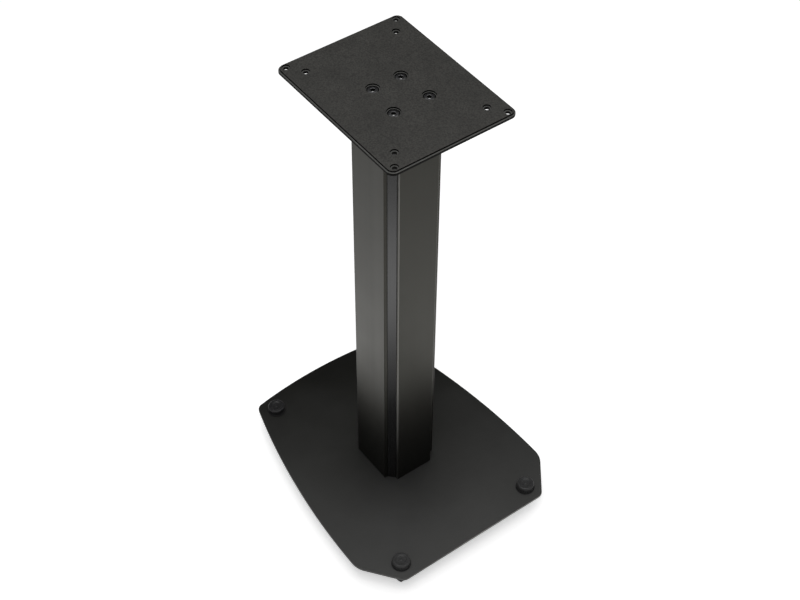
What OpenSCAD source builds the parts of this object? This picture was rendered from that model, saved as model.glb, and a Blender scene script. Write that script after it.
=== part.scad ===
// Speaker stand: a steel base plate on four spikes, a hollow grooved column and a top plate with a grained mat.
// The origin lies on the floor below the middle of the base plate. +Z is up and -Y is the stand's front.

/* [Base plate] */
// Width of the base plate at its widest, near the front
base_width = 330; // [300:1:420]
// Depth of the base plate from its straight front to the top of its bowed back
base_depth = 388; // [350:1:480]
// Thickness of the base plate
base_thickness = 4; // [3:0.5:8]
// Radius of the bow of each side
side_bow_r = 1090; // [900:10:2000]
// Distance from the front back to where the sides are widest apart
side_bow_from_front = 68; // [42:1:102]
// Radius of the bow of the back
back_bow_r = 680; // [500:10:1500]
// How far each cut front corner reaches in from the side
front_cut_x = 42.6; // [20:0.2:50]
// How far each cut front corner reaches back from the front
front_cut_y = 55.2; // [30:0.2:70]
// Corner radius where a side meets the cut corner
shoulder_r = 32; // [10:1:45]
// Corner radius at the front and at the back
base_corner_r = 12; // [4:1:20]

/* [Feet] */
// Distance from each bowed side in to its front foot
front_foot_from_side = 53; // [46:0.1:69]
// Distance from the front back to the front feet
front_foot_from_front = 24.6; // [18:0.2:42]
// Distance from each bowed side in to its back foot
back_foot_from_side = 26.6; // [21:0.1:50]
// Distance from the top of the bowed back forward to the back feet
back_foot_from_back = 32.2; // [29:0.2:62]
// Gap between the floor and the base plate
ground_gap = 42; // [38:1:60]
// Radius of the flat at the tip of a spike
tip_r = 0.8; // [0.5:0.1:1.5]
// Radius of a spike's body
spike_r = 8; // [7:0.5:10]
// Height of a spike's body above the floor
spike_body_height = 26; // [20:1:28]
// Half of the angle of a spike's cone, in degrees
cone_half_angle = 27; // [24:1:35]
// Radius of a spike's threaded stud
stud_r = 4; // [3:0.5:5]
// Radius of a weld nut below the base plate
weld_nut_r = 9; // [8:0.5:12]
// Height of a weld nut
weld_nut_height = 7; // [5:0.5:8]

/* [Foot knobs] */
// Radius of a foot's knob
knob_r = 12.4; // [11:0.2:14]
// Height of a foot's knob
knob_height = 8.5; // [8:0.5:12]
// Radius of the rounded edge round a knob's top
knob_edge_r = 2; // [1:0.1:2.5]
// Radius of the shallow dish in a knob's top
dish_r = 7.9; // [6:0.1:9]
// Depth of the dish in a knob's top
dish_depth = 1; // [0.6:0.1:1.4]
// Radius of the round button in the middle of the dish
button_r = 2.8; // [2:0.1:4]
// Height of that button above the dish
button_height = 0.7; // [0.3:0.1:0.9]
// How far a stud reaches up into its knob
knob_bore_depth = 5.5; // [4:0.5:5.5]
// Radius of the collar below a knob that carries its washer
collar_r = 6; // [5.5:0.5:7]
// How far the snap lip below the washer stands out from the collar
snap_lip = 0.4; // [0.2:0.1:0.5]
// Radius of a knob's washer
knob_washer_r = 13.6; // [12.5:0.2:16]
// Thickness of a knob's washer
knob_washer_thickness = 1.5; // [1.3:0.1:2.5]

/* [Column] */
// Width of the column, from side to side
column_width = 86; // [82:0.2:100]
// Depth of the column, from front to back
column_depth = 93.4; // [88:0.2:110]
// Length of the column
column_length = 670; // [400:5:900]
// How far the column's axis stands in front of the middle of the base plate
column_forward = 3.6; // [0:0.1:15]
// Wall thickness of the column
wall = 2.5; // [2:0.1:3]
// How far each cut corner of the column reaches along either face
column_cut = 13.4; // [12.6:0.2:16]
// Width of the visible face of a corner strip
strip_width = 11.6; // [9:0.2:12.4]
// Depth of a corner strip's face behind the line from face edge to face edge
strip_recess = 3.4; // [1.5:0.1:3.6]
// Thickness of a corner strip
strip_thickness = 2.5; // [2:0.1:3]
// How far a corner strip widens on each side towards its hidden face
strip_undercut = 0.6; // [0.2:0.1:1]
// Thickness of the flange welded in each end of the column
flange_thickness = 8; // [6:1:14]

/* [Top plate] */
// Width of the top plate
top_width = 181; // [176:1:240]
// Depth of the top plate
top_depth = 232; // [227:1:300]
// Thickness of the top plate
top_thickness = 4; // [4:0.5:8]
// How far the middle of the top plate lies in front of the middle of the base plate
top_forward = 0.7; // [0:0.1:8]
// Corner radius of the top plate
top_corner_r = 9.6; // [4:0.2:12]
// Width of the bare ledge round the mat
mat_ledge = 1.6; // [0.5:0.1:2]
// Thickness of the mat
mat_thickness = 2; // [1.5:0.1:4]
// Distance from the top plate's sides in to the outer speaker holes
outer_hole_from_side = 10.2; // [10:0.1:15.5]
// Distance from the top plate's ends in to the outer speaker holes
outer_hole_from_end = 7.7; // [7.5:0.1:18]
// Distance from the top plate's sides in to the inner speaker holes
inner_hole_from_side = 24.8; // [22.5:0.1:40.5]
// Distance from the top plate's ends in to the inner speaker holes
inner_hole_from_end = 27.9; // [25:0.1:46]
// Radius of a speaker hole through the top plate
speaker_hole_r = 3.3; // [2.5:0.1:3.5]
// Radius of the mat's cut-out round a speaker hole
mat_hole_r = 4.9; // [4.5:0.1:5]

/* [Screws] */
// Distance from the column's sides in to the front column screws
front_screw_from_side = 17.4; // [16.7:0.1:23.2]
// Distance from the column's front back to the front column screws
front_screw_from_front = 17.8; // [16.7:0.1:23.7]
// Distance from the column's sides in to the back column screws
back_screw_from_side = 22.7; // [19.2:0.1:26.2]
// Distance from the column's back forward to the back column screws
back_screw_from_back = 27.2; // [21.7:0.1:30.7]
// Radius of a column screw's shank
screw_r = 4; // [3:0.5:4.5]
// Radius of a column screw's head
screw_head_r = 7; // [6.5:0.1:7.2]
// Height of a top screw's low head
top_head_height = 2.8; // [2:0.1:3.2]
// Height of a base screw's head
base_head_height = 4.4; // [3:0.1:6]
// Shank length of a top screw
top_screw_length = 12; // [8:1:16]
// Shank length of a base screw
base_screw_length = 14; // [12:1:20]
// Width across the flats of the hex socket in a column screw
screw_socket_width = 5; // [4:0.5:6]
// Depth of the hex socket in a column screw
screw_socket_depth = 2.6; // [1:0.1:3]
// Radius of the recess in the top plate that holds a top screw's head
screw_recess_r = 7.6; // [7.4:0.1:8.2]
// Depth of that recess in the top plate
screw_recess_depth = 2; // [1.5:0.1:2.5]
// Radius of the mat's cut-out round that recess
mat_recess_r = 8.6; // [8.3:0.1:9]
// Radius of the washer below a base screw's head
screw_washer_r = 8; // [7.6:0.1:8.4]
// Thickness of the washer below a base screw's head
screw_washer_thickness = 1.6; // [1:0.1:2.5]

/* [Fits] */
// Radial clearance between a stud and the threads that it turns in
thread_clearance = 0.05; // [0.02:0.01:0.1]
// Radial clearance between a shank and a plain hole
hole_clearance = 0.4; // [0.2:0.05:0.6]
// Gap round a flange and round a corner strip
fit_gap = 0.1; // [0.05:0.05:0.2]
// Size of the small edge chamfers on turned pieces
edge = 0.5; // [0.2:0.1:0.6]

/* [Hidden] */
$fn = 96;

// Overrun of every cut past the surface that it goes through
over = 1;

// Step in degrees between the points of a rounded edge
arc_step = 22.5;

// Heights above the floor
base_top = ground_gap + base_thickness;
column_top = base_top + column_length;
plate_top = column_top + top_thickness;
mat_top = plate_top + mat_thickness;
knob_bottom = base_top + knob_washer_thickness;
stud_top = knob_bottom + knob_bore_depth;
cone_height = (spike_r - tip_r) / tan(cone_half_angle);
recess_floor = plate_top - screw_recess_depth;

// Radii of the holes that studs and screws go through
threaded_stud_r = stud_r + thread_clearance;
plain_stud_r = stud_r + hole_clearance;
threaded_screw_r = screw_r + thread_clearance;
plain_screw_r = screw_r + hole_clearance;

// Centres of the two bows that form the base plate's sides
bow_shift = side_bow_r - base_width / 2;
widest_y = side_bow_from_front - base_depth / 2;

// Half of the base plate's width at a place along its depth
function base_half_width(y) = sqrt(pow(side_bow_r, 2) - pow(y - widest_y, 2)) - bow_shift;

// Where the feet and the column screws stand
front_foot_y = front_foot_from_front - base_depth / 2;
back_foot_y = base_depth / 2 - back_foot_from_back;
front_foot = [base_half_width(front_foot_y) - front_foot_from_side, front_foot_y];
back_foot = [base_half_width(back_foot_y) - back_foot_from_side, back_foot_y];
function other_side(place) = [-place.x, place.y];
FEET = [other_side(front_foot), front_foot, other_side(back_foot), back_foot];
front_screw = [column_width / 2 - front_screw_from_side,
    front_screw_from_front - column_depth / 2 - column_forward];
back_screw = [column_width / 2 - back_screw_from_side,
    column_depth / 2 - back_screw_from_back - column_forward];
SCREWS = [other_side(front_screw), front_screw, other_side(back_screw), back_screw];

// Corners of the outer and inner speaker holes, by their distances from the top plate's edges
function speaker_corners(from_side, from_end) = [for (side = [-1, 1], end = [-1, 1])
    [side * (top_width / 2 - from_side), end * (top_depth / 2 - from_end) - top_forward]];
SPEAKER_HOLES = concat(speaker_corners(outer_hole_from_side, outer_hole_from_end),
    speaker_corners(inner_hole_from_side, inner_hole_from_end));

// Points of one corner of the column, worked out from its corner where the two faces would meet.
// along runs down the cut from its middle towards the side face, and inward is the depth below the cut.
function cut_point(along, inward) = [
    (column_width - column_cut) / 2 + (along - inward) / sqrt(2),
    (column_depth - column_cut) / 2 - (along + inward) / sqrt(2)];
half_cut = column_cut / sqrt(2);
strip_floor = strip_recess + strip_thickness;
strip_half = strip_width / 2;
strip_hidden_half = strip_half + strip_undercut;

// Rounds the outward corners of a flat shape
module rounded(r) {
    offset(r = r) offset(delta = -r) children();
}

// Draws its children at each of a list of places
module at_each(places) {
    for (place = places) {
        translate(place) children();
    }
}

// A hexagonal prism of a given width across the flats, standing on the floor
module hex_prism(width, height) {
    cylinder(d = width / cos(30), h = height, $fn = 6);
}

// Region between the two bowed sides and the two cut front corners, open towards the back
module bowed_sides() {
    cut_top = -base_depth / 2 + front_cut_y;
    wedge_tip = front_cut_y * (base_width / 2) / front_cut_x;
    intersection() {
        translate([-bow_shift, widest_y]) circle(r = side_bow_r, $fn = 720);
        translate([bow_shift, widest_y]) circle(r = side_bow_r, $fn = 720);
        polygon([[0, cut_top - wedge_tip], [base_width / 2, cut_top], [base_width / 2, base_depth],
            [-base_width / 2, base_depth], [-base_width / 2, cut_top]]);
    }
}

// Outline of the base plate
module base_outline() {
    rounded(base_corner_r) intersection() {
        rounded(shoulder_r) bowed_sides();
        translate([0, base_depth / 2 - back_bow_r]) circle(r = back_bow_r, $fn = 720);
        translate([-base_width / 2, -base_depth / 2]) square([base_width, base_depth]);
    }
}

// Flat steel base with holes for the four studs and the four column screws
module base_plate() {
    color("#2b2c2e") translate([0, 0, ground_gap]) difference() {
        linear_extrude(base_thickness) base_outline();
        translate([0, 0, -over]) {
            at_each(FEET) cylinder(r = plain_stud_r, h = base_thickness + 2 * over);
            at_each(SCREWS) cylinder(r = plain_screw_r, h = base_thickness + 2 * over);
        }
    }
}

// Ring with a chamfered lower outer edge, standing on the floor
module turned_ring(outer_r, inner_r, height) {
    rotate_extrude() polygon([[inner_r, 0], [outer_r - edge, 0], [outer_r, edge], [outer_r, height],
        [inner_r, height]]);
}

// Threaded nuts welded below the base plate, one for each spike
module weld_nuts() {
    color("#6c6e70") translate([0, 0, ground_gap - weld_nut_height])
        at_each(FEET) turned_ring(weld_nut_r, threaded_stud_r, weld_nut_height);
}

// Spike with its cone, body and stud
module spike(place) {
    color("#4a4b4d") translate(place) rotate_extrude() polygon([
        [0, 0], [tip_r, 0], [spike_r, cone_height], [spike_r, spike_body_height - edge],
        [spike_r - edge, spike_body_height], [stud_r, spike_body_height], [stud_r, stud_top - edge],
        [stud_r - edge, stud_top], [0, stud_top]]);
}

// Washer snapped onto the collar below a foot's knob
module knob_washer(place) {
    bore_r = collar_r + thread_clearance;
    color("#1b1b1c") translate([place.x, place.y, base_top]) rotate_extrude() polygon([
        [bore_r + snap_lip, 0], [knob_washer_r, 0], [knob_washer_r, knob_washer_thickness - edge],
        [knob_washer_r - edge, knob_washer_thickness], [bore_r, knob_washer_thickness],
        [bore_r, fit_gap + 2 * snap_lip], [bore_r + snap_lip, fit_gap + snap_lip]]);
}

// Knob that turns its spike: closed, with a rounded edge, a shallow dish with a button in it, and below it
// a collar with a snap lip that carries its washer
module foot_knob(place) {
    collar_depth = knob_washer_thickness - fit_gap;
    dish_floor = knob_height - dish_depth;
    button_top = dish_floor + button_height;
    color("#2f3032") translate([place.x, place.y, knob_bottom]) rotate_extrude() polygon(concat(
        [[0, knob_bore_depth], [threaded_stud_r, knob_bore_depth], [threaded_stud_r, -collar_depth],
            [collar_r + snap_lip, -collar_depth], [collar_r + snap_lip, snap_lip - collar_depth],
            [collar_r, 2 * snap_lip - collar_depth], [collar_r, 0], [knob_r - edge, 0], [knob_r, edge]],
        [for (a = [0:arc_step:90])
            [knob_r - knob_edge_r * (1 - cos(a)), knob_height - knob_edge_r * (1 - sin(a))]],
        [[dish_r, knob_height], [dish_r - dish_depth, dish_floor], [button_r, dish_floor],
            [button_r - button_height, button_top], [0, button_top]]));
}

// Cutter for the groove in one corner of the column, open to the outside
module corner_groove() {
    polygon([cut_point(half_cut, 0), cut_point(strip_half, strip_recess),
        cut_point(strip_hidden_half + fit_gap, strip_floor), cut_point(-strip_hidden_half - fit_gap, strip_floor),
        cut_point(-strip_half, strip_recess), cut_point(-half_cut, 0),
        [(column_width - column_cut) / 2, column_depth], [column_width, column_depth],
        [column_width, (column_depth - column_cut) / 2]]);
}

// Outline of the space inside the column, smaller all round by a gap
module column_cavity(gap) {
    half_x = column_width / 2 - wall - gap;
    half_y = column_depth / 2 - wall - gap;
    corner = cut_point(0, strip_floor + wall + gap);
    reach = corner.x + corner.y;
    polygon([for (s = [[1, 1], [-1, 1], [-1, -1], [1, -1]])
        each s.x * s.y > 0
            ? [[s.x * half_x, s.y * (reach - half_x)], [s.x * (reach - half_y), s.y * half_y]]
            : [[s.x * (reach - half_y), s.y * half_y], [s.x * half_x, s.y * (reach - half_x)]]]);
}

// Moves its children onto the column's axis, at a height
module on_column_axis(height) {
    translate([0, -column_forward, height]) children();
}

// Mirrors its children into one corner of the column
module into_corner(side, end) {
    scale([side, end, 1]) children();
}

// Hollow column with a groove down each corner
module column() {
    color("#3d3e40") on_column_axis(base_top) linear_extrude(column_length) difference() {
        square([column_width, column_depth], center = true);
        for (side = [-1, 1], end = [-1, 1]) {
            into_corner(side, end) corner_groove();
        }
        column_cavity(0);
    }
}

// Strip that fills the bottom of one corner groove of the column
module corner_strip(side, end) {
    color("#3f434b") on_column_axis(base_top) linear_extrude(column_length)
        into_corner(side, end) polygon([
            cut_point(strip_half - fit_gap, strip_recess), cut_point(strip_hidden_half, strip_floor),
            cut_point(-strip_hidden_half, strip_floor), cut_point(-strip_half + fit_gap, strip_recess)]);
}

// Flange with four threaded holes, welded inside one end of the column
module flange(bottom) {
    color("#77797c") difference() {
        on_column_axis(bottom) linear_extrude(flange_thickness) column_cavity(fit_gap);
        translate([0, 0, bottom - over])
            at_each(SCREWS) cylinder(r = threaded_screw_r, h = flange_thickness + 2 * over);
    }
}

module lower_flange() {
    flange(base_top);
}

module upper_flange() {
    flange(column_top - flange_thickness);
}

// Screw with a domed head and a hex socket, seated at zero height with its shank pointing down
module socket_screw(head_height, length) {
    crown_r = screw_head_r - head_height / 2;
    difference() {
        rotate_extrude() polygon([[0, -length], [screw_r - edge, -length], [screw_r, edge - length], [screw_r, 0],
            [screw_head_r, 0], [screw_head_r, head_height / 3], [crown_r, head_height], [0, head_height]]);
        translate([0, 0, head_height - screw_socket_depth])
            hex_prism(screw_socket_width, screw_socket_depth + over);
    }
}

// Screws that hold the base plate to the lower flange, from below
module base_screws() {
    color("#55575a") translate([0, 0, ground_gap - screw_washer_thickness])
        at_each(SCREWS) mirror([0, 0, 1]) socket_screw(base_head_height, base_screw_length);
}

// Washers between the base plate and the heads of the base screws
module screw_washers() {
    color("#8a8c8f") translate([0, 0, ground_gap - screw_washer_thickness])
        at_each(SCREWS) difference() {
            cylinder(r = screw_washer_r, h = screw_washer_thickness);
            translate([0, 0, -over]) cylinder(r = plain_screw_r, h = screw_washer_thickness + 2 * over);
        }
}

// Rectangle with round corners, in the middle of the top plate
module top_outline(inset) {
    translate([0, -top_forward]) rounded(top_corner_r - inset)
        square([top_width - 2 * inset, top_depth - 2 * inset], center = true);
}

// Steel top plate with speaker holes and stepped holes for the top screws
module top_plate() {
    color("#333436") difference() {
        translate([0, 0, column_top]) linear_extrude(top_thickness) top_outline(0);
        translate([0, 0, column_top - over]) {
            at_each(SPEAKER_HOLES) cylinder(r = speaker_hole_r, h = top_thickness + 2 * over);
            at_each(SCREWS) cylinder(r = plain_screw_r, h = top_thickness + 2 * over);
        }
        translate([0, 0, recess_floor])
            at_each(SCREWS) cylinder(r = screw_recess_r, h = screw_recess_depth + over);
    }
}

// Low-headed screws that hold the top plate to the upper flange
module top_screws() {
    color("#3a3b3d") translate([0, 0, recess_floor])
        at_each(SCREWS) socket_screw(top_head_height, top_screw_length);
}

// Grained mat on the top plate, cut out round every hole
module top_mat() {
    color("#3b3b39") translate([0, 0, plate_top]) difference() {
        linear_extrude(mat_thickness) top_outline(mat_ledge);
        translate([0, 0, -over]) {
            at_each(SPEAKER_HOLES) cylinder(r = mat_hole_r, h = mat_thickness + 2 * over);
            at_each(SCREWS) cylinder(r = mat_recess_r, h = mat_thickness + 2 * over);
        }
    }
}

module spike_front_left() { spike(other_side(front_foot)); }
module spike_front_right() { spike(front_foot); }
module spike_back_left() { spike(other_side(back_foot)); }
module spike_back_right() { spike(back_foot); }

module knob_washer_front_left() { knob_washer(other_side(front_foot)); }
module knob_washer_front_right() { knob_washer(front_foot); }
module knob_washer_back_left() { knob_washer(other_side(back_foot)); }
module knob_washer_back_right() { knob_washer(back_foot); }

module foot_knob_front_left() { foot_knob(other_side(front_foot)); }
module foot_knob_front_right() { foot_knob(front_foot); }
module foot_knob_back_left() { foot_knob(other_side(back_foot)); }
module foot_knob_back_right() { foot_knob(back_foot); }

module corner_strip_front_left() { corner_strip(-1, -1); }
module corner_strip_front_right() { corner_strip(1, -1); }
module corner_strip_back_left() { corner_strip(-1, 1); }
module corner_strip_back_right() { corner_strip(1, 1); }

base_plate();
weld_nuts();
spike_front_left();
spike_front_right();
spike_back_left();
spike_back_right();
knob_washer_front_left();
knob_washer_front_right();
knob_washer_back_left();
knob_washer_back_right();
foot_knob_front_left();
foot_knob_front_right();
foot_knob_back_left();
foot_knob_back_right();
column();
corner_strip_front_left();
corner_strip_front_right();
corner_strip_back_left();
corner_strip_back_right();
lower_flange();
upper_flange();
base_screws();
screw_washers();
top_plate();
top_screws();
top_mat();
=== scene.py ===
import math

import bmesh
import bpy
from mathutils import Matrix, Quaternion, Vector


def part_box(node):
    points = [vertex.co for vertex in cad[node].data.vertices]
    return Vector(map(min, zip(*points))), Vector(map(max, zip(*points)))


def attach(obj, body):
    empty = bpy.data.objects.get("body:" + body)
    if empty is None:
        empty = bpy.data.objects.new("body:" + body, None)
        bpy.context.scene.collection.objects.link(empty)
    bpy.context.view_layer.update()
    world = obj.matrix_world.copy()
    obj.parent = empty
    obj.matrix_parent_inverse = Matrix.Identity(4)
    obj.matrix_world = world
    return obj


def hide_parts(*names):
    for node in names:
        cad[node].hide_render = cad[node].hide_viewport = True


# Looks of the speaker stand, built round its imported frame. Lengths are in metres.

MM = 0.001
CORNERS = ("front_left", "front_right", "back_left", "back_right")

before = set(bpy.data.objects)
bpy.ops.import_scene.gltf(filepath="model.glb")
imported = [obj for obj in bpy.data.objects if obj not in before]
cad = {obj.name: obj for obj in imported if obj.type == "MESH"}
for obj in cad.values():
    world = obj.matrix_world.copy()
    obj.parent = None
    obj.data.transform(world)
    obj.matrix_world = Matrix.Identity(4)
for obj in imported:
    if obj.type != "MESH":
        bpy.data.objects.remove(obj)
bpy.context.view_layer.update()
scene = bpy.context.scene


# Outlines read from the CAD nodes

# Vertices of a CAD mesh that lie closer than this are one
CAD_WELD = 2e-6
# Largest share of a side that the arc of a rounded corner takes up
ARC_SHARE = 0.45
# Least cosine by which an offset is divided, so that the points of sharp corners stay short
LEAST_MITRE = 0.3


def upper_loops(node):
    """Closed outlines of a CAD node's highest flat face, the longest first, each a list of 2-D points."""
    bm = bmesh.new()
    bm.from_mesh(cad[node].data)
    bmesh.ops.remove_doubles(bm, verts=bm.verts, dist=CAD_WELD)
    bm.normal_update()
    top = max(v.co.z for v in bm.verts)
    slack = 0.01 * MM

    def is_top(face):
        return face.normal.z > 0.9 and all(abs(v.co.z - top) < slack for v in face.verts)

    neighbours = {}
    for edge in bm.edges:
        if sum(is_top(face) for face in edge.link_faces) == 1:
            a, b = edge.verts
            neighbours.setdefault(a.index, []).append(b)
            neighbours.setdefault(b.index, []).append(a)
    bm.verts.ensure_lookup_table()
    loops = []
    left = set(neighbours)
    while left:
        loop = []
        here = bm.verts[min(left)]
        while here:
            left.discard(here.index)
            loop.append(Vector((here.co.x, here.co.y)))
            here = next((v for v in neighbours[here.index] if v.index in left), None)
        loops.append(anticlockwise(without_straight_points(loop)))
    bm.free()
    return sorted(loops, key=lambda loop: -perimeter(loop))


def perimeter(loop):
    return sum((loop[i] - loop[i - 1]).length for i in range(len(loop)))


def signed_area(loop):
    return sum(loop[i - 1].x * loop[i].y - loop[i].x * loop[i - 1].y for i in range(len(loop))) / 2


def anticlockwise(loop):
    return loop if signed_area(loop) > 0 else loop[::-1]


def turn(a, b, c):
    """How far a line turns at b on its way from a to c, anticlockwise positive."""
    u, v = b - a, c - b
    return math.atan2(u.x * v.y - u.y * v.x, u.dot(v))


def without_straight_points(loop, least_turn=1e-4):
    """Drops the points on straight runs of an outline."""
    n = len(loop)
    return [loop[i] for i in range(n) if abs(turn(loop[i - 1], loop[i], loop[(i + 1) % n])) > least_turn]


def round_corners(loop, radius, steps=4, least_turn=math.radians(12)):
    """Replaces the corners of a closed outline by arcs."""
    result = []
    n = len(loop)
    for i in range(n):
        a, b, c = loop[i - 1], loop[i], loop[(i + 1) % n]
        angle = turn(a, b, c)
        if abs(angle) < least_turn:
            result.append(b)
            continue
        back, on = a - b, c - b
        reach = min(radius * math.tan(abs(angle) / 2), ARC_SHARE * back.length, ARC_SHARE * on.length)
        r = reach / math.tan(abs(angle) / 2)
        start = b + back.normalized() * reach
        side = Vector((-(b - a).y, (b - a).x)).normalized() * math.copysign(1, angle)
        centre = start + side * r
        for k in range(steps + 1):
            swing = Matrix.Rotation(angle * k / steps, 2)
            result.append(centre + swing @ (start - centre))
    return result


def offset_loop(loop, distance):
    """Moves an anticlockwise outline outward by a distance."""
    result = []
    n = len(loop)
    for i in range(n):
        a, b, c = loop[i - 1], loop[i], loop[(i + 1) % n]
        u = (b - a).normalized()
        v = (c - b).normalized()
        middle = Vector((u.y + v.y, -u.x - v.x)).normalized()
        result.append(b + middle * distance / max(LEAST_MITRE, middle.dot(Vector((u.y, -u.x)))))
    return result


def circle(centre, radius, steps=64):
    return [Vector((centre.x + radius * math.cos(math.tau * k / steps),
                    centre.y + radius * math.sin(math.tau * k / steps))) for k in range(steps)]


def middle_of(loop):
    return sum(loop, Vector((0, 0))) / len(loop)


def mean_radius(loop):
    centre = middle_of(loop)
    return sum((p - centre).length for p in loop) / len(loop)


# Meshes

# Vertices of a drawn mesh that lie closer than this are one
WELD = 1e-7
# Steps in which the rim of a plate is rounded
RIM_STEPS = 4
# Bearing of the key lamp, seen from the stand
KEY_BEARING = math.radians(233)
# How high the rows of one turn of a thread stand, from its root (0) to its crest (1)
THREAD_SHAPE = (1, 1, 0.72, 0.3, 0, 0, 0.3, 0.72)


def smooth_object(name, bm, sharp=40):
    """Makes an object of a mesh, smooth apart from edges sharper than an angle in degrees."""
    bmesh.ops.remove_doubles(bm, verts=bm.verts, dist=WELD)
    bmesh.ops.recalc_face_normals(bm, faces=bm.faces)
    mesh = bpy.data.meshes.new(name)
    bm.to_mesh(mesh)
    bm.free()
    mesh.shade_smooth()
    mesh.set_sharp_from_angle(angle=math.radians(sharp))
    piece = bpy.data.objects.new(name, mesh)
    scene.collection.objects.link(piece)
    weighted = piece.modifiers.new("flat_faces_stay_flat", "WEIGHTED_NORMAL")
    weighted.keep_sharp = True
    return piece


def ring(bm, loop, z):
    return [bm.verts.new((p.x, p.y, z)) for p in loop]


def cap(bm, one):
    """Closes an end of a turned piece by one face on the ring there."""
    bm.faces.new(one)


def join_rings(bm, rings, second_from=None):
    """Joins neighbouring rings by faces, which take the second material from one ring on."""
    for index, (lower, upper) in enumerate(zip(rings, rings[1:])):
        n = len(lower)
        for i in range(n):
            j = (i + 1) % n
            face = bm.faces.new((lower[i], lower[j], upper[j], upper[i]))
            face.material_index = int(second_from is not None and index >= second_from)


def fill_between(bm, rings):
    """Fills the flat face between an outer ring and the rings of its holes."""
    edges = []
    for one in rings:
        n = len(one)
        for i in range(n):
            a, b = one[i], one[(i + 1) % n]
            edges.append(bm.edges.get((a, b)) or bm.edges.new((a, b)))
    bmesh.ops.triangle_fill(bm, use_beauty=True, use_dissolve=False, edges=edges)


def quarter(radius, steps=RIM_STEPS):
    """Points of a quarter circle from the flat face (0, 0) down to the wall (radius, -radius)."""
    angles = [math.pi / 2 * k / steps for k in range(steps + 1)]
    return [(radius * math.sin(angle), radius * (math.cos(angle) - 1)) for angle in angles]


def rounded_wall(top, bottom, upper_round, lower_round):
    """Wall from top to bottom with both rims rounded: pairs of how far the wall lies inside, and height."""
    upper = [(upper_round - out, top + down) for out, down in quarter(upper_round)]
    lower = [(lower_round - out, bottom - down) for out, down in quarter(lower_round)]
    return upper + lower[::-1]


def plate(name, outline, wall, holes=(), rim_second=None, holes_second=None):
    """A flat piece with an outline and its wall, and with holes that are pairs of an outline and a wall.
    A wall is a list of (how far it lies towards the material, height), from the top face to the bottom.
    From the given step of a wall on, the rim and the holes take the second material."""
    bm = bmesh.new()
    sides = [(outline, wall, -1, rim_second)]
    sides += [(loop, own_wall, 1, holes_second) for loop, own_wall in holes]
    tops, bottoms = [], []
    for loop, steps, outward, second_from in sides:
        rings = [ring(bm, offset_loop(loop, outward * inside), z) for inside, z in steps]
        join_rings(bm, rings, second_from)
        tops.append(rings[0])
        bottoms.append(rings[-1])
    fill_between(bm, tops)
    fill_between(bm, bottoms)
    return smooth_object(name, bm, sharp=50)


def round_hole(loop, wall, steps=64):
    """A hole for a plate, drawn as a true circle in place of an outline read from the CAD."""
    return circle(middle_of(loop), mean_radius(loop), steps), wall


def hexagon_reach(angle, width):
    """Distance from the middle to the side of a hexagon of a width across its flats, at an angle."""
    sixth = math.pi / 3
    return width / 2 / math.cos(angle % sixth - sixth / 2)


def vertex_layer(bm, name):
    """The named layer of numbers on a mesh's vertices, made when it is first asked for."""
    layers = bm.verts.layers.float
    return layers.get(name) or layers.new(name)


def on_circle(centre, reach, angle, z):
    return centre.x + reach * math.cos(angle), centre.y + reach * math.sin(angle), z


def lathe_rings(bm, profile, centre, steps=96, second_from=None):
    """Rings round a vertical axis, joined by faces. A profile is a list of (radius, height), where a radius
    may be ("hex", width). Each vertex keeps its radius, and how squarely it lies on the key lamp's side."""
    turned = vertex_layer(bm, "turned")
    key_side = vertex_layer(bm, "key_side")
    rings = []
    for radius, z in profile:
        one = []
        for k in range(steps):
            angle = math.tau * k / steps
            reach = hexagon_reach(angle, radius[1]) if isinstance(radius, tuple) else radius
            v = bm.verts.new(on_circle(centre, reach, angle, z))
            v[turned] = reach
            v[key_side] = math.cos(angle - KEY_BEARING)
            one.append(v)
        rings.append(one)
    join_rings(bm, rings, second_from)
    return rings


def rounded_section(points, radius):
    """Rounds the corners of a closed lathe section, given as (radius, height) pairs."""
    return [tuple(p) for p in round_corners([Vector(p) for p in points], radius, 3)]


def thread(bm, centre, low, high, major, depth, pitch, steps=48):
    """A screw thread round a vertical axis, from low to high."""
    turned = vertex_layer(bm, "turned")
    per_turn = len(THREAD_SHAPE)
    rows = int((high - low) / pitch * per_turn) + 2 * per_turn
    grid = []
    for i in range(rows + 1):
        row = []
        for k in range(steps):
            z = low - pitch + i * pitch / per_turn + pitch * k / steps
            fade = max(0, min(1, (z - low) / pitch, (high - z) / pitch))
            reach = major - depth + depth * THREAD_SHAPE[i % per_turn] * fade
            v = bm.verts.new(on_circle(centre, reach, math.tau * k / steps, max(low, min(high, z))))
            v[turned] = reach
            row.append(v)
        grid.append(row)
    for i in range(rows):
        here, above = grid[i], grid[i + 1]
        for k in range(steps - 1):
            bm.faces.new((here[k], here[k + 1], above[k + 1], above[k]))
        if i + per_turn + 1 <= rows:
            bm.faces.new((here[-1], grid[i + per_turn][0], grid[i + per_turn + 1][0], above[-1]))


def drop_flat_faces(bm):
    """Removes faces that the clamped ends of a thread left without area."""
    bmesh.ops.dissolve_degenerate(bm, dist=WELD, edges=bm.edges)


# Node trees

def grey(level):
    return (level,) * 3


def shades(color, low, high):
    """A darker and a lighter shade of a colour."""
    return tuple(low * c for c in color), tuple(high * c for c in color)


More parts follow.
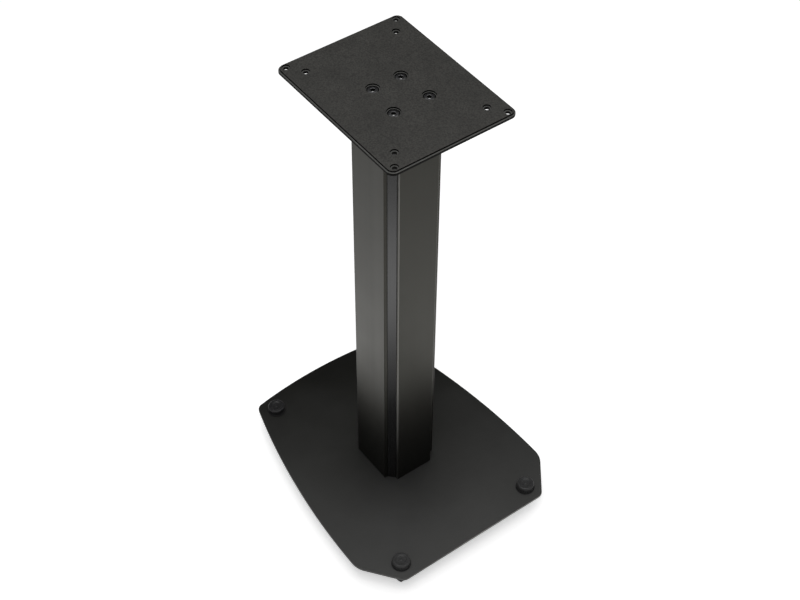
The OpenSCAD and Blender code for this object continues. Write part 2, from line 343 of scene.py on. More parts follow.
class Nodes:
    """A node tree, emptied at first, and short ways to add nodes to it."""

    def __init__(self, tree):
        self.tree = tree
        self.tree.nodes.clear()

    def link(self, source, target):
        self.tree.links.new(source, target)

    def node(self, kind, inputs=(), **settings):
        """Adds a node. Each of its inputs is given as a socket to link, or as a constant."""
        made = self.tree.nodes.new(kind)
        for key, value in settings.items():
            setattr(made, key, value)
        for key, value in dict(inputs).items():
            if isinstance(value, bpy.types.NodeSocket):
                self.link(value, made.inputs[key])
            else:
                made.inputs[key].default_value = value
        return made

    def math(self, operation, a, b=0.0):
        return self.node("ShaderNodeMath", {0: a, 1: b}, operation=operation).outputs[0]

    def plus(self, a, b):
        return self.math("ADD", a, b)

    def times(self, a, b):
        return self.math("MULTIPLY", a, b)

    def between(self, value, low, high, to_low=0.0, to_high=1.0, **settings):
        """Follows a value from to_low to to_high while it goes from low to high, and stays there outside."""
        return self.node("ShaderNodeMapRange", {"Value": value, "From Min": low, "From Max": high,
                                                "To Min": to_low, "To Max": to_high}, **settings).outputs[0]

    def spread(self, noise, to_low=0.0, to_high=1.0):
        """Spreads noise over a range. Most of it lies between 0.3 and 0.7."""
        return self.between(noise, 0.3, 0.7, to_low, to_high)

    def along(self, axis, vector):
        return self.node("ShaderNodeSeparateXYZ", {0: vector}).outputs[axis]

    def dot(self, a, b):
        return self.node("ShaderNodeVectorMath", {0: a, 1: b}, operation="DOT_PRODUCT").outputs["Value"]

    def length(self, vector):
        return self.node("ShaderNodeVectorMath", {0: vector}, operation="LENGTH").outputs["Value"]

    def normal(self):
        return self.node("ShaderNodeNewGeometry").outputs["Normal"]

    def attribute(self, name):
        return self.node("ShaderNodeAttribute", attribute_name=name, attribute_type="GEOMETRY").outputs["Fac"]

    def mix(self, factor, a, b, blend="MIX"):
        """Mixes two colours, which are a Mix node's sixth and seventh inputs, counted from 0."""
        made = self.node("ShaderNodeMix", {0: factor}, data_type="RGBA", blend_type=blend)
        for index, value in ((6, a), (7, b)):
            if isinstance(value, bpy.types.NodeSocket):
                self.link(value, made.inputs[index])
            else:
                made.inputs[index].default_value = (*value, 1)
        return made.outputs[2]


# Direction over the base plate in which its painted light grows: forward, and a little to the left
PAINTED_LIGHT_WAY = (-0.4, -0.92, 0)


class Shader(Nodes):
    """A material with one Principled shader, and the textures that the stand's materials share."""

    INPUTS = {"color": "Base Color", "roughness": "Roughness", "metallic": "Metallic", "normal": "Normal",
              "ior": "IOR", "specular": "Specular IOR Level", "tint": "Specular Tint",
              "emission": "Emission Color", "emission_strength": "Emission Strength"}

    def __init__(self, name):
        self.material = bpy.data.materials.new(name)
        self.material.use_nodes = True
        super().__init__(self.material.node_tree)
        out = self.node("ShaderNodeOutputMaterial")
        self.bsdf = self.node("ShaderNodeBsdfPrincipled")
        self.link(self.bsdf.outputs[0], out.inputs[0])

    def place(self):
        return self.node("ShaderNodeTexCoord").outputs["Object"]

    def drawn_out(self, scale_z):
        """Places at which a texture is drawn out lengthwise, along Z."""
        return self.node("ShaderNodeMapping", {"Vector": self.place(), "Scale": (1, 1, scale_z)}).outputs[0]

    def noise_node(self, size, detail, roughness, place, distortion):
        inputs = {"Vector": place or self.place(), "Scale": 1 / size, "Detail": detail,
                  "Roughness": roughness, "Distortion": distortion}
        return self.node("ShaderNodeTexNoise", inputs).outputs

    def noise(self, size, detail=3.0, roughness=0.55, place=None, distortion=0.0):
        """Noise whose blotches are about size metres wide."""
        return self.noise_node(size, detail, roughness, place, distortion)["Fac"]

    def warped(self, size, reach):
        """Places pushed about by up to reach, in blotches about size metres wide."""
        push = self.noise_node(size, 1.0, 0.5, None, 0.0)["Color"]
        scaled = self.node("ShaderNodeVectorMath", {0: push, "Scale": reach}, operation="SCALE").outputs[0]
        return self.node("ShaderNodeVectorMath", {0: self.place(), 1: scaled}, operation="ADD").outputs[0]

    def cells(self, size, place=None):
        """Distance from the middles of round cells that are about size metres wide."""
        inputs = {"Vector": place or self.place(), "Scale": 1 / size, "Smoothness": 0.6}
        return self.node("ShaderNodeTexVoronoi", inputs, feature="SMOOTH_F1").outputs["Distance"]

    def bump(self, height, depth, strength=1.0, normal=None):
        inputs = {"Height": height, "Distance": depth, "Strength": strength}
        if normal:
            inputs["Normal"] = normal
        return self.node("ShaderNodeBump", inputs).outputs[0]

    def edges(self, radius):
        """1 on edges and 0 on flat faces, from how far a rounded normal leans away from the real one."""
        rounded = self.node("ShaderNodeBevel", {"Radius": radius}, samples=6).outputs[0]
        leaning = self.math("SUBTRACT", 1.0, self.dot(rounded, self.normal()))
        return self.between(leaning, 0.02, 0.25)

    def painted_light_ahead(self, body, painted_light):
        """Lays painted light over a colour: lighter towards the front, and darker round the column as painted
        shade.
        """
        cloud = self.spread(self.noise(60 * MM, 5, 0.6), -0.02, 0.02)
        ahead = self.dot(self.place(), PAINTED_LIGHT_WAY)
        lit_ahead = self.between(self.plus(ahead, cloud), -0.17, 0.22)
        unshaded_by_column = self.between(self.length(self.place()), 0.06, 0.15, 0.6, 1.0)
        return self.mix(self.times(lit_ahead, unshaded_by_column), body, painted_light)

    def varied(self, noise, color, low, high):
        """A colour that noise takes from a darker to a lighter shade of it."""
        return self.mix(self.spread(noise), *shades(color, low, high))

    def set(self, **values):
        """Sets inputs of the Principled shader, and gives back its material."""
        for key, value in values.items():
            socket = self.bsdf.inputs[self.INPUTS[key]]
            if isinstance(value, bpy.types.NodeSocket):
                self.link(value, socket)
            elif isinstance(value, tuple):
                socket.default_value = (*value, 1)
            else:
                socket.default_value = value
        return self.material


# Materials

def powder_coat(name, color, roughness, worn_and_highlit=grey(0.05), wear_and_highlight_amount=0.7, painted_light=None, ior=1.5):
    """Satin powder coat: orange peel, fine sparkle, soft patches and lightly rubbed edges, which may be drawn
    bright enough to serve as a painted highlight. It may carry painted light that grows towards the front."""
    s = Shader(name)
    peel = s.noise(0.9 * MM, 2, 0.4)
    sparkle = s.noise(0.35 * MM, 2, 0.6)
    rubbed_and_highlit = s.times(s.edges(0.5 * MM), s.between(s.noise(9 * MM, 4), 0.7 - wear_and_highlight_amount / 2, 0.7, 0.0, wear_and_highlight_amount))
    body = s.varied(s.noise(55 * MM, 3), color, 0.82, 1.2)
    if painted_light:
        body = s.painted_light_ahead(body, painted_light)
    bright = s.mix(1.0, body, grey(2.2), "MULTIPLY")
    speckled = s.mix(s.between(sparkle, 0.62, 0.75, 0.0, 0.35), body, bright)
    gloss = s.spread(s.noise(38 * MM, 4), roughness - 0.03, roughness + 0.03)
    normal = s.bump(sparkle, 0.004 * MM, 0.5, s.bump(peel, 0.02 * MM, 0.6))
    return s.set(color=s.mix(rubbed_and_highlit, speckled, worn_and_highlit), roughness=gloss, normal=normal, ior=ior,
                 tint=(1.0, 1.0, 0.88))


def extruded_coat(name, color, roughness, front_y, rubbed_and_highlit_color):
    """Dark satin coat over an aluminium extrusion, with the faint lengthwise lines of the die. The lips
    beside the front face, which lies at front_y, carry a painted highlight of light bare metal where they
    face forward, faded near the foot as painted shade."""
    s = Shader(name)
    drawn = s.drawn_out(0.004)
    lines = s.noise(1.1 * MM, 2, 0.5, drawn)
    broad = s.noise(9 * MM, 2, 0.5, drawn)
    peel = s.noise(0.8 * MM, 2, 0.4)
    # Painted highlight on the lips that face forward, faded near the foot as painted shade.
    at_front = s.between(s.along("Y", s.place()), front_y + 3.4 * MM, front_y + 2.7 * MM)
    on_lip = s.between(s.along("Y", s.normal()), -0.93, -0.84)
    above_foot = s.between(s.along("Z", s.place()), 0.1, 0.25, 0.06, 1.0)
    uneven = s.spread(s.noise(25 * MM, 4, 0.6, drawn), 0.75, 1.0)
    rubbed_and_highlit = s.times(s.times(s.times(at_front, above_foot), on_lip), uneven)
    body = s.varied(s.noise(70 * MM, 3), color, 0.85, 1.15)
    gloss = s.between(s.plus(s.noise(45 * MM, 3), broad), 0.7, 1.3, roughness - 0.025, roughness + 0.025)
    die_marks = s.bump(broad, 0.02 * MM, 0.25, s.bump(lines, 0.003 * MM, 0.5))
    normal = s.bump(peel, 0.006 * MM, 0.5, die_marks)
    return s.set(color=s.mix(rubbed_and_highlit, body, rubbed_and_highlit_color), roughness=gloss, normal=normal,
                 metallic=s.times(rubbed_and_highlit, 0.25), ior=1.5, tint=(1.0, 0.975, 0.79))


def pebbled(name, color):
    """Fine pebble grain of the mat, with painted shade darkening its valleys."""
    s = Shader(name)
    warped = s.warped(2.2 * MM, 0.7 * MM)
    pebbles = s.cells(1.9 * MM, warped)
    small = s.cells(0.7 * MM, warped)
    valley = s.between(pebbles, 0.3, 0.75)
    cloud = s.noise(32 * MM, 5, 0.6)
    fleck = s.noise(4.5 * MM, 4, 0.7)
    tone = s.mix(s.between(s.plus(cloud, fleck), 0.7, 1.3), *shades(color, 0.72, 1.28))
    surface = s.mix(s.times(valley, 0.7), tone, tuple(0.35 * c for c in color))
    gloss = s.between(s.plus(valley, cloud), 0.3, 1.4, 0.46, 0.6)
    normal = s.bump(small, 0.05 * MM, 0.35, s.bump(pebbles, -0.16 * MM, 0.55))
    return s.set(color=surface, roughness=gloss, normal=normal, ior=1.5)


def satin_strip(name, color):
    """Smooth satin strip, faintly drawn along its length."""
    s = Shader(name)
    lines = s.noise(0.7 * MM, 3, 0.6, s.drawn_out(0.006))
    fine = s.noise(0.5 * MM, 2)
    tone = s.varied(s.noise(40 * MM, 3), color, 0.88, 1.12)
    gloss = s.spread(lines, 0.2, 0.26)
    normal = s.bump(fine, 0.004 * MM, 0.4, s.bump(lines, 0.003 * MM, 0.6))
    return s.set(color=tone, roughness=gloss, normal=normal, ior=1.8)


# Radii round a screw's axis between which its head carries a painted glint
GLINT_INNER = 3.3 * MM
GLINT_OUTER = 4.7 * MM


def turned_metal(name, color, roughness, metallic, worn_and_highlit=grey(0.2), painted_light=None, painted_glint=None):
    """Metal turned on a lathe: fine rings by distance from the axis and by height. It may carry painted light
    that grows towards the front, or a painted glint beside a screw's socket on the key lamp's side."""
    s = Shader(name)
    ring_width = 0.28 * MM
    reach = s.attribute("turned")
    travel = s.times(s.plus(reach, s.along("Z", s.place())), math.tau / ring_width)
    wobble = s.times(s.noise(3 * MM, 2), 2.5)
    rings = s.math("SINE", s.plus(travel, wobble))
    smear = s.noise(4 * MM, 4, 0.6)
    rubbed_and_highlit = s.times(s.edges(0.35 * MM), s.between(smear, 0.4, 0.7, 0.1, 0.8))
    tone = s.varied(smear, color, 0.82, 1.2)
    if painted_light:
        tone = s.painted_light_ahead(tone, painted_light)
    surface = s.mix(rubbed_and_highlit, tone, worn_and_highlit)
    # Painted glint: a bright spot beside the socket, on the side that faces the key lamp.
    if painted_glint:
        beside_socket = s.times(s.between(reach, GLINT_INNER, GLINT_INNER + 0.15 * MM),
                                s.between(reach, GLINT_OUTER, GLINT_OUTER - 0.4 * MM))
        glint_spot = s.times(beside_socket, s.between(s.attribute("key_side"), 0.95, 0.985))
        surface = s.mix(glint_spot, surface, painted_glint)
    gloss = s.spread(smear, roughness - 0.05, roughness + 0.06)
    normal = s.bump(s.noise(0.4 * MM, 2), 0.004 * MM, 0.5, s.bump(rings, 0.008 * MM, 0.5))
    return s.set(color=surface, roughness=gloss, normal=normal, metallic=metallic, ior=1.5)


def bloomed_metal(name):
    """Bright bare or zinc plated metal with soft grain and a dull bloom."""
    s = Shader(name)
    bloom = s.noise(6 * MM, 5, 0.6)
    tone = s.mix(s.between(bloom, 0.35, 0.65), (0.36, 0.37, 0.39), (0.52, 0.52, 0.53))
    gloss = s.between(s.plus(bloom, s.cells(2.2 * MM)), 0.5, 1.3, 0.28, 0.5)
    grain = s.bump(s.noise(0.5 * MM, 4, 0.7), 0.015 * MM, 0.5)
    return s.set(color=tone, roughness=gloss, normal=grain, metallic=1.0)


def dull_plastic(name, color, roughness=0.56, ior=1.47):
    """Matt plastic and rubber with a fine even grain; also drawn near black as the painted shade of cut walls
    and sockets.
    """
    s = Shader(name)
    tone = s.varied(s.noise(7 * MM, 4), color, 0.8, 1.25)
    gloss = s.spread(s.noise(5 * MM, 3), roughness - 0.06, roughness + 0.06)
    grain = s.bump(s.noise(0.3 * MM, 3, 0.6), 0.02 * MM, 0.6)
    return s.set(color=tone, roughness=gloss, normal=grain, ior=ior)


def weld_metal(name):
    """Weld bead with the ripples left by each pass of the torch."""
    s = Shader(name)
    ripples = s.noise(1.6 * MM, 3, 0.5, distortion=0.8)
    tone = s.mix(s.between(s.noise(5 * MM, 4), 0.35, 0.65), grey(0.1), (0.22, 0.21, 0.2))
    gloss = s.spread(ripples, 0.35, 0.55)
    return s.set(color=tone, roughness=gloss, normal=s.bump(ripples, 0.2 * MM, 0.7), metallic=0.8)


# The base's coat is near black. The lighter colour laid over it is painted light: lighter towards the front,
# and darker round the column as painted shade.
base_coat = powder_coat("satin_black_base", grey(0.003), 0.4, painted_light=grey(0.056), ior=1.4)
# A much lighter copy of the base's coat for the wall of its rim, as a painted highlight.
painted_highlight_edge = powder_coat("satin_black_painted_highlight_edge", grey(0.1), 0.4, worn_and_highlit=grey(0.2))
# Its bright, wide rubbed edges are partly wear and partly a painted highlight along the plate's rims.
top_coat = powder_coat("satin_black_top", (0.064, 0.064, 0.062), 0.36, worn_and_highlit=grey(0.2), wear_and_highlight_amount=0.9)
# Near-black copy of the top plate's coat, as painted shade on the walls of its rim and holes.
painted_shade_coat = powder_coat("painted_shade_black_coat", grey(0.003), 0.6, ior=1.2)
# The light colour on the column's front lips is a painted highlight.
column_coat = extruded_coat("satin_black_extrusion", (0.0018, 0.0018, 0.0021), 0.345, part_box("column")[0].y,
                            (0.22, 0.217, 0.208))
strip_skin = satin_strip("satin_strip", (0.0012, 0.0012, 0.0014))
mat_rubber = pebbled("pebbled_mat", (0.0325, 0.0315, 0.028))
# Near-black copy of the mat, as painted shade on its cut walls.
painted_shade_rubber = dull_plastic("mat_edge_painted_shade", grey(0.002), 0.8, 1.15)
# The bright spot beside each screw's socket, on the key lamp's side, is a painted glint.
black_oxide = turned_metal("black_oxide", (0.125, 0.125, 0.128), 0.34, 1.0, painted_glint=grey(0.9))
# Near-black painted shade inside the screws' hex sockets.
painted_shade_socket = dull_plastic("socket_painted_shade", grey(0.0015), 0.8, 1.15)
# The knobs carry the same painted light as the base, lighter towards the front.
knob_black = turned_metal("turned_satin_black", (0.007, 0.007, 0.0075), 0.3, 0.0, worn_and_highlit=grey(0.06),
                          painted_light=grey(0.034))
spike_nickel = turned_metal("black_nickel", (0.1, 0.1, 0.105), 0.26, 1.0, worn_and_highlit=(0.35, 0.35, 0.34))
zinc_plate = bloomed_metal("zinc_plate")
washer_skin = dull_plastic("matt_black_plastic", grey(0.009))
bead_metal = weld_metal("weld_bead")
bare_metal = bloomed_metal("bare_aluminium")


def dress(piece, body, material, slot, *replaced, second=None):
    """Gives a piece its materials, its body and the CAD nodes that it stands in for. The slot is not used."""
    piece.data.materials.append(material)
    if second:
        piece.data.materials.append(second)
    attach(piece, body)
    if replaced:
        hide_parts(*replaced)


# Base plate

low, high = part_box("base_plate")
outline, *cad_holes = upper_loops("base_plate")
hole_wall = rounded_wall(high.z, low.z, 0.25 * MM, 0.25 * MM)
holes = [round_hole(loop, hole_wall, steps=48) for loop in cad_holes]
wall = rounded_wall(high.z, low.z, 0.7 * MM, 0.4 * MM)
# The wall of the rim takes the lighter copy of the coat as a painted highlight.
base = plate("base_sheet", outline, wall, holes, rim_second=RIM_STEPS)
dress(base, "stand", base_coat, "base_steel", "base_plate", second=painted_highlight_edge)

# Top plate, with a recess and a shank hole for each column screw, and plain holes for the speaker's bolts

SHANK_HOLE_R = 4.4 * MM
RECESS_DEPTH = 2 * MM

low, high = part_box("top_plate")
outline, *cad_holes = upper_loops("top_plate")
recess_r = max(mean_radius(loop) for loop in cad_holes)
recesses = [loop for loop in cad_holes if mean_radius(loop) > 0.9 * recess_r]
screw_places = [middle_of(loop) for loop in recesses]
recess_floor = high.z - RECESS_DEPTH
speaker_wall = rounded_wall(high.z, low.z, 0.2 * MM, 0.2 * MM)
holes = []
for loop in cad_holes:
    if loop in recesses:
        inset = SHANK_HOLE_R - mean_radius(loop)
        recess_wall = rounded_wall(high.z, recess_floor, 0.3 * MM, 0.01 * MM)
        holes.append(round_hole(loop, recess_wall + [(inset, recess_floor), (inset, low.z)]))
    else:
        holes.append(round_hole(loop, speaker_wall, steps=48))
wall = rounded_wall(high.z, low.z, 0.6 * MM, 0.4 * MM)
# Its rim wall and hole walls take the near-black painted shade.
top = plate("top_sheet", outline, wall, holes, rim_second=RIM_STEPS, holes_second=RIM_STEPS)
dress(top, "stand", top_coat, "top_steel", "top_plate", second=painted_shade_coat)

# Mat, whose cut walls begin just below its upper face and take a near-black painted shade

low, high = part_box("top_mat")
outline, *cad_holes = upper_loops("top_mat")
hole_wall = rounded_wall(high.z, low.z, 0.25 * MM, 0.1 * MM)
holes = [round_hole(loop, hole_wall) for loop in cad_holes]
wall = rounded_wall(high.z, low.z, 0.45 * MM, 0.1 * MM)
mat = plate("grained_mat", outline, wall, holes, rim_second=1, holes_second=1)
dress(mat, "stand", mat_rubber, "mat_rubber", "top_mat", second=painted_shade_rubber)

# Column and its corner strips, which are drawn a little wider to close the gap beside them

STRIP_WIDENED = 0.2 * MM

low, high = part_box("column")
shell, cavity = upper_loops("column")
wall = rounded_wall(high.z, low.z, 0.3 * MM, 0.3 * MM)
outline = round_corners(shell, 1.1 * MM, steps=6)
column = plate("grooved_column", outline, wall, [(round_corners(cavity, 1.2 * MM), wall)])
dress(column, "stand", column_coat, "column_metal", "column")

for corner in CORNERS:
    low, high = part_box(f"corner_strip_{corner}")
    outline = offset_loop(round_corners(upper_loops(f"corner_strip_{corner}")[0], 0.3 * MM), STRIP_WIDENED)
    strip = plate(f"strip_{corner}", outline, rounded_wall(high.z, low.z, 0.2 * MM, 0.2 * MM))
    dress(strip, "stand", strip_skin, "strip_plastic", f"corner_strip_{corner}")

# Column screws and their washers

SCREW_R = 4 * MM
SCREW_HEAD_R = 7 * MM
SCREW_WASHER_R = 8 * MM
SOCKET_WIDTH = 5 * MM
SOCKET_DEPTH = 2.6 * MM
# How far the middle of a screw's head stands above its shoulder
CROWN_HEIGHT = 0.28 * MM
# Steps in which a screw's head is rounded
DOME_STEPS = 6
# How much lower the top screws' heads are drawn than in the CAD
HEAD_SUNK = 0.8 * MM
# Coarse M8 thread, for the screws and for the studs
THREAD_DEPTH = 0.65 * MM
PITCH = 1.25 * MM
# Radial gap round a stud, and round a knob's collar
CLEARANCE = 0.05 * MM


def screw(bm, centre, seat, up, head_height, length):
    """A domed screw with a hex socket. It is seated at a height, with its head up (1) or down (-1)."""
    crown_r = SCREW_HEAD_R - 0.55 * head_height
    shoulder = head_height - CROWN_HEIGHT
    dome = []
    for k in range(DOME_STEPS + 1):
        swing = math.pi / 2 * k / DOME_STEPS
        dome.append((crown_r + (SCREW_HEAD_R - crown_r) * math.cos(swing),
                     shoulder * (0.3 + 0.7 * math.sin(swing))))
    mouth_r = SOCKET_WIDTH / 2 / math.cos(math.pi / 6) + 0.55 * MM
    bottom = head_height - SOCKET_DEPTH
    under = [(SCREW_R, 0), (SCREW_HEAD_R - 0.2 * MM, 0), (SCREW_HEAD_R, 0.2 * MM)]
    mouth = [(mouth_r, head_height), (("hex", SOCKET_WIDTH + 0.5 * MM), head_height - 0.12 * MM)]
    socket = [(("hex", SOCKET_WIDTH), head_height - 0.4 * MM), (("hex", SOCKET_WIDTH), bottom + 0.5 * MM),
              (0.6 * MM, bottom)]
    profile = [(r, seat + up * z) for r, z in under + dome + mouth + socket]
    rings = lathe_rings(bm, profile, centre, second_from=len(profile) - len(socket))
    cap(bm, rings[-1])
    neck, end = seat - up * MM, seat - up * (length - 0.4 * MM)
    lathe_rings(bm, [(SCREW_R, seat), (SCREW_R, neck)], centre)
    thread(bm, centre, min(neck, end), max(neck, end), SCREW_R, THREAD_DEPTH, PITCH)
    end_face = [(SCREW_R - THREAD_DEPTH, end), (SCREW_R - MM, seat - up * length)]
    cap(bm, lathe_rings(bm, end_face, centre, steps=48)[-1])


def column_screws(name, node, seat, up, head_height, length):
    """The four screws at one end of the column."""
    bm = bmesh.new()
    for centre in screw_places:
        screw(bm, centre, seat, up, head_height, length)
    drop_flat_faces(bm)
    dress(smooth_object(name, bm), "stand", black_oxide, "screw_steel", node, second=painted_shade_socket)


def plain_rings(name, places, inner_r, outer_r, box, rounding):
    """Washers or plain nuts: one ring round each place, from the bottom to the top of a box."""
    low_z, high_z = box[0].z, box[1].z
    corners = [(inner_r, low_z), (outer_r, low_z), (outer_r, high_z), (inner_r, high_z)]
    section = rounded_section(corners, rounding)
    bm = bmesh.new()
    for centre in places:
        lathe_rings(bm, section + section[:1], centre)
    return smooth_object(name, bm)


low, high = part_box("top_screws")
column_screws("domed_top_screws", "top_screws", recess_floor, 1, high.z - HEAD_SUNK - recess_floor,
              recess_floor - low.z)

low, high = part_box("base_screws")
washer_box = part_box("screw_washers")
seat = washer_box[0].z
column_screws("domed_base_screws", "base_screws", seat, -1, seat - low.z, high.z - seat)

washers = plain_rings("plated_screw_washers", screw_places, SHANK_HOLE_R, SCREW_WASHER_R, washer_box,
                      0.3 * MM)
dress(washers, "stand", zinc_plate, "plain_steel", "screw_washers")

# Weld nuts, and the bead round each of them

NUT_R = 9 * MM
STUD_R = 4 * MM
BEAD = 1.9 * MM
# How far a bead's edge lies inside its nut
BEAD_SUNK = 0.05 * MM
BEAD_STEPS = 144
BEAD_ACROSS = 8

feet = {}
for corner in CORNERS:
    low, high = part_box(f"spike_{corner}")
    feet[corner] = Vector(((low.x + high.x) / 2, (low.y + high.y) / 2))


def weld_bead(bm, centre, top_z):
    """A bead that hangs from a face round a nut, with the ripples of its passes."""
    grid = []
    for k in range(BEAD_STEPS):
        angle = math.tau * k / BEAD_STEPS
        swell = 1 + 0.09 * math.sin(angle * 36) + 0.05 * math.sin(angle * 5 + 1)
        row = []
        for j in range(BEAD_ACROSS + 1):
            lean = math.pi / 2 * j / BEAD_ACROSS
            reach = NUT_R - BEAD_SUNK + BEAD * swell * math.sin(lean)
            z = top_z - BEAD * swell * math.cos(lean) * (1 - 0.25 * math.sin(2 * lean))
            row.append(bm.verts.new(on_circle(centre, reach, angle, z)))
        grid.append(row)
    for k in range(BEAD_STEPS):
        here, ahead = grid[k], grid[(k + 1) % BEAD_STEPS]
        for j in range(BEAD_ACROSS):
            bm.faces.new((here[j], ahead[j], ahead[j + 1], here[j + 1]))


nut_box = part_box("weld_nuts")
nuts = plain_rings("plated_weld_nuts", feet.values(), STUD_R + CLEARANCE, NUT_R, nut_box, 0.5 * MM)
dress(nuts, "stand", zinc_plate, "plain_steel", "weld_nuts")

bm = bmesh.new()
for centre in feet.values():
    weld_bead(bm, centre, nut_box[1].z + 0.02 * MM)
dress(smooth_object("weld_beads", bm), "stand", bead_metal, "plain_steel")

# The flanges stay as they are in the CAD, in bare metal

for node in ("lower_flange", "upper_flange"):
    for material_slot in cad[node].material_slots:
        material_slot.material = bare_metal

# Feet: spikes, knob washers and knobs

TIP_R = 0.8 * MM
SPIKE_R = 8 * MM
CONE_HEIGHT = 14.13 * MM
SPIKE_BODY_TOP = 26 * MM
GROOVE_DEPTH = 0.4 * MM
COLLAR_R = 6 * MM
SNAP_LIP = 0.4 * MM
KNOB_BORE = 5.5 * MM
KNOB_ROUND = 2.2 * MM
DISH_R = 7.9 * MM
DISH_DEPTH = 1 * MM
BUTTON_R = 2.8 * MM
BUTTON_HEIGHT = 0.7 * MM


def spike(bm, centre, low_z, high_z):
    """Cone foot with a turned groove, and its threaded stud."""
    cone = [(0.25 * MM, low_z), (0.6 * MM, low_z + 0.08 * MM), (TIP_R + 0.05 * MM, low_z + 0.3 * MM),
            (SPIKE_R - 0.1 * MM, CONE_HEIGHT - 0.25 * MM), (SPIKE_R, CONE_HEIGHT)]
    groove = [(SPIKE_R, CONE_HEIGHT + 2.1 * MM), (SPIKE_R - GROOVE_DEPTH, CONE_HEIGHT + 2.4 * MM),
              (SPIKE_R - GROOVE_DEPTH, CONE_HEIGHT + 3.2 * MM), (SPIKE_R, CONE_HEIGHT + 3.5 * MM)]
    shoulder = [(SPIKE_R, SPIKE_BODY_TOP - 0.6 * MM), (SPIKE_R - 0.2 * MM, SPIKE_BODY_TOP - 0.2 * MM),
                (SPIKE_R - 0.6 * MM, SPIKE_BODY_TOP), (STUD_R - THREAD_DEPTH, SPIKE_BODY_TOP)]
    cap(bm, lathe_rings(bm, cone + groove + shoulder, centre)[0])
    end = high_z - 0.45 * MM
    thread(bm, centre, SPIKE_BODY_TOP, end, STUD_R - 0.03 * MM, THREAD_DEPTH, PITCH)
    end_face = [(STUD_R - THREAD_DEPTH, end), (STUD_R - 0.8 * MM, high_z - 0.08 * MM),
                (STUD_R - 0.9 * MM, high_z)]
    cap(bm, lathe_rings(bm, end_face, centre, steps=48)[-1])
    drop_flat_faces(bm)


def knob_washer(bm, centre, low_z, high_z, outer_r, lip_z):
    """Washer with a rounded upper edge. Its bore is wider below lip_z, for the snap lip of the knob."""
    bore_r = COLLAR_R + CLEARANCE
    outside = [(bore_r + SNAP_LIP, low_z), (outer_r - 0.3 * MM, low_z), (outer_r, low_z + 0.25 * MM),
               (outer_r, high_z - 0.6 * MM), (outer_r - 0.15 * MM, high_z - 0.25 * MM),
               (outer_r - 0.5 * MM, high_z)]
    bore = [(bore_r, high_z), (bore_r, lip_z + SNAP_LIP), (bore_r + SNAP_LIP, lip_z)]
    lathe_rings(bm, outside + bore + outside[:1], centre)


def knob(bm, centre, low_z, seat_z, high_z, knob_r):
    """Closed knob: bore and collar below, rounded edge above, and a button in its shallow dish."""
    bore_r = STUD_R + CLEARANCE
    bore_top = seat_z + KNOB_BORE
    dish_z = high_z - DISH_DEPTH
    button_z = dish_z + BUTTON_HEIGHT
    bore = [(0.3 * MM, bore_top), (bore_r, bore_top), (bore_r, low_z)]
    collar = [(COLLAR_R + SNAP_LIP, low_z), (COLLAR_R + SNAP_LIP, low_z + SNAP_LIP),
              (COLLAR_R, low_z + 2 * SNAP_LIP), (COLLAR_R, seat_z)]
    side = [(knob_r - 0.7 * MM, seat_z), (knob_r - 0.1 * MM, seat_z + 0.3 * MM), (knob_r, seat_z + 0.8 * MM)]
    edge = [(knob_r - KNOB_ROUND + out, high_z + down) for out, down in quarter(KNOB_ROUND, steps=9)][::-1]
    dish = [(DISH_R + 0.5 * MM, high_z), (DISH_R, high_z - 0.15 * MM),
            (DISH_R - 0.5 * MM, high_z - 0.55 * MM), (DISH_R - 1.1 * MM, high_z - 0.9 * MM),
            (DISH_R - 1.8 * MM, dish_z)]
    button = [(BUTTON_R, dish_z), (BUTTON_R - 0.2 * MM, dish_z + 0.3 * MM),
              (BUTTON_R - 0.6 * MM, button_z - 0.12 * MM), (BUTTON_R - 1.2 * MM, button_z),
              (0.3 * MM, button_z)]
    rings = lathe_rings(bm, bore + collar + side + edge + dish + button, centre, steps=128)
    cap(bm, rings[0])
    cap(bm, rings[-1])


def turned_piece(name, draw, *sizes):
    """An object with the mesh that one of the functions above draws."""
    bm = bmesh.new()
    draw(bm, *sizes)
    return smooth_object(name, bm)


for corner, centre in feet.items():
    low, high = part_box(f"spike_{corner}")
    piece = turned_piece(f"turned_spike_{corner}", spike, centre, low.z, high.z)
    dress(piece, f"foot_{corner}", spike_nickel, "spike_steel", f"spike_{corner}")

    low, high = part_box(f"knob_washer_{corner}")
    knob_low, knob_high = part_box(f"foot_knob_{corner}")
    piece = turned_piece(f"round_washer_{corner}", knob_washer, centre, low.z, high.z, (high.x - low.x) / 2,
                         knob_low.z + SNAP_LIP)
    dress(piece, f"knob_washer_{corner}", washer_skin, "washer_plastic", f"knob_washer_{corner}")

    piece = turned_piece(f"dished_knob_{corner}", knob, centre, knob_low.z, high.z, knob_high.z,
                         (knob_high.x - knob_low.x) / 2)
    dress(piece, f"foot_{corner}", knob_black, "knob_metal", f"foot_knob_{corner}")


# Floor, world and lamps

# Directions over the floor from the stand, about towards the photo's camera and the left of the picture
CAMERA_WAY = (-0.8, -0.6, 0)
LEFT_WAY = (-0.6, 0.8, 0)


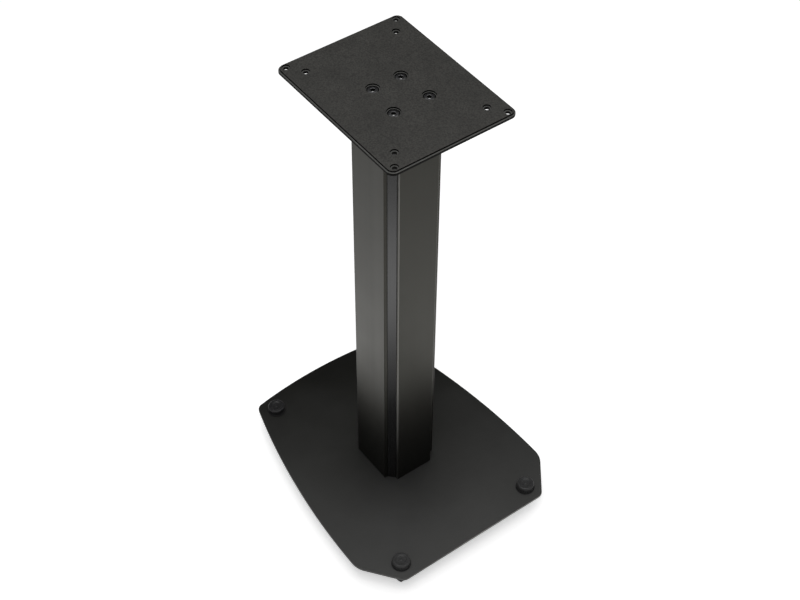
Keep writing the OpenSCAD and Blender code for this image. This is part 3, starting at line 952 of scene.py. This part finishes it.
def white_paper():
    """White paper, lifted to full white for the camera. What the stand mirrors of it glows round the base and
    fades further out, and glows more on the left. Towards the camera the glow is a patch that begins some way
    off, and the paper is in shade near the base and far out. Each of these is given by two distances from the
    stand's axis, and how strong it is at them."""
    s = Shader("white_paper")
    path = s.node("ShaderNodeLightPath").outputs
    away = s.length(s.place())
    heading = s.node("ShaderNodeVectorMath", {0: s.place()}, operation="NORMALIZE").outputs["Vector"]
    camera_side = s.between(s.dot(heading, CAMERA_WAY), 0.55, 0.9)
    left_side = s.between(s.dot(heading, LEFT_WAY), 0.4, 0.85)
    left_glow = s.times(left_side, s.between(away, 0.28, 0.42, 0.2, 0.0))
    all_round = s.plus(s.between(away, 0.2, 0.9, 0.56, 0.0), left_glow)
    patch = s.times(s.between(away, 0.3, 0.44, 0.0, 0.6), s.between(away, 0.54, 0.77, 1.0, 0.0))
    glow = s.node("ShaderNodeMix", {"Factor": camera_side, "A": all_round, "B": patch}).outputs["Result"]
    lift = s.plus(s.times(path["Is Camera Ray"], 0.48), s.times(path["Is Glossy Ray"], glow))
    near_and_far = s.plus(s.between(away, 0.3, 0.42, 1.3, 0.0), s.between(away, 0.54, 0.78))
    mirrored = s.mix(s.times(camera_side, near_and_far), grey(0.8), grey(0.36))
    paper = s.mix(path["Is Glossy Ray"], grey(0.95), mirrored)
    return s.set(color=paper, roughness=1.0, specular=0.0, emission=grey(1), emission_strength=lift)


def paper_floor(half_width, drop):
    """A square of paper, a hair below the spikes' tips."""
    mesh = bpy.data.meshes.new("floor")
    bm = bmesh.new()
    bmesh.ops.create_grid(bm, x_segments=8, y_segments=8, size=half_width)
    bm.to_mesh(mesh)
    bm.free()
    mesh.materials.append(white_paper())
    floor = bpy.data.objects.new("floor", mesh)
    scene.collection.objects.link(floor)
    floor.location.z = -drop


def studio_world():
    """A world that is white to the camera, white near the floor and dark above in mirrors, and dim where it
    only lights."""
    world = bpy.data.worlds.new("studio")
    world.use_nodes = True
    n = Nodes(world.node_tree)
    path = n.node("ShaderNodeLightPath").outputs
    height = n.along("Z", n.node("ShaderNodeTexCoord").outputs["Generated"])
    mirrored = n.between(height, 0.02, 0.3, 1.0, 0.08, interpolation_type="SMOOTHSTEP")
    lighting = {"Factor": path["Is Glossy Ray"], "A": 0.33, "B": mirrored}
    dim = n.node("ShaderNodeMix", lighting).outputs["Result"]
    background = n.node("ShaderNodeBackground", {"Strength": n.math("MAXIMUM", dim, path["Is Camera Ray"])})
    n.node("ShaderNodeOutputWorld", {0: background.outputs[0]})
    return world


def softbox(name, place, target, size, radiance, spin=0.0):
    """A square lamp that looks as bright as radiance, spun about its own axis."""
    data = bpy.data.lights.new(name, "AREA")
    data.size = size
    data.energy = radiance * math.pi * size ** 2
    lamp = bpy.data.objects.new(name, data)
    scene.collection.objects.link(lamp)
    aim = (Vector(target) - Vector(place)).to_track_quat("-Z", "Y") @ Quaternion((0, 0, 1), spin)
    lamp.matrix_world = Matrix.LocRotScale(Vector(place), aim, None)
    return lamp


# Bearing in which the camera looks, and to which the overhead softbox is squared up
HEADING = math.radians(53.341)

paper_floor(half_width=12, drop=0.05 * MM)
scene.world = studio_world()
softbox("overhead_softbox", (0, 0, 2.4), (0, 0, 0), size=2.2, radiance=1.4, spin=HEADING)
key = softbox("key_softbox", (-0.75, -1, 2.35), (0, 0, 0.2), size=1, radiance=6.5)
key.visible_glossy = False

# The photo's camera, as it was solved from the picture

EYE = Vector((-0.8414, -1.1434, 1.8759))
DOWN = math.radians(46.802)
ROLL = math.radians(0.416)
SENSOR_MM = 36
LENS_MM = 70.356


def photo_camera():
    data = bpy.data.cameras.new("camera")
    data.sensor_fit = "HORIZONTAL"
    data.sensor_width = SENSOR_MM
    data.lens = LENS_MM
    data.clip_start = 0.05
    data.clip_end = 60
    camera = bpy.data.objects.new("camera", data)
    scene.collection.objects.link(camera)
    ahead = Vector((math.cos(HEADING) * math.cos(DOWN), math.sin(HEADING) * math.cos(DOWN), -math.sin(DOWN)))
    level = ahead.cross(Vector((0, 0, 1))).normalized()
    upward = level.cross(ahead)
    right = level * math.cos(ROLL) + upward * math.sin(ROLL)
    above = upward * math.cos(ROLL) - level * math.sin(ROLL)
    axes = Matrix((right, above, -ahead)).transposed()
    camera.matrix_world = Matrix.Translation(EYE) @ axes.to_4x4()
    return camera


scene.camera = photo_camera()
scene.view_settings.view_transform = "Standard"
bpy.context.view_layer.update()
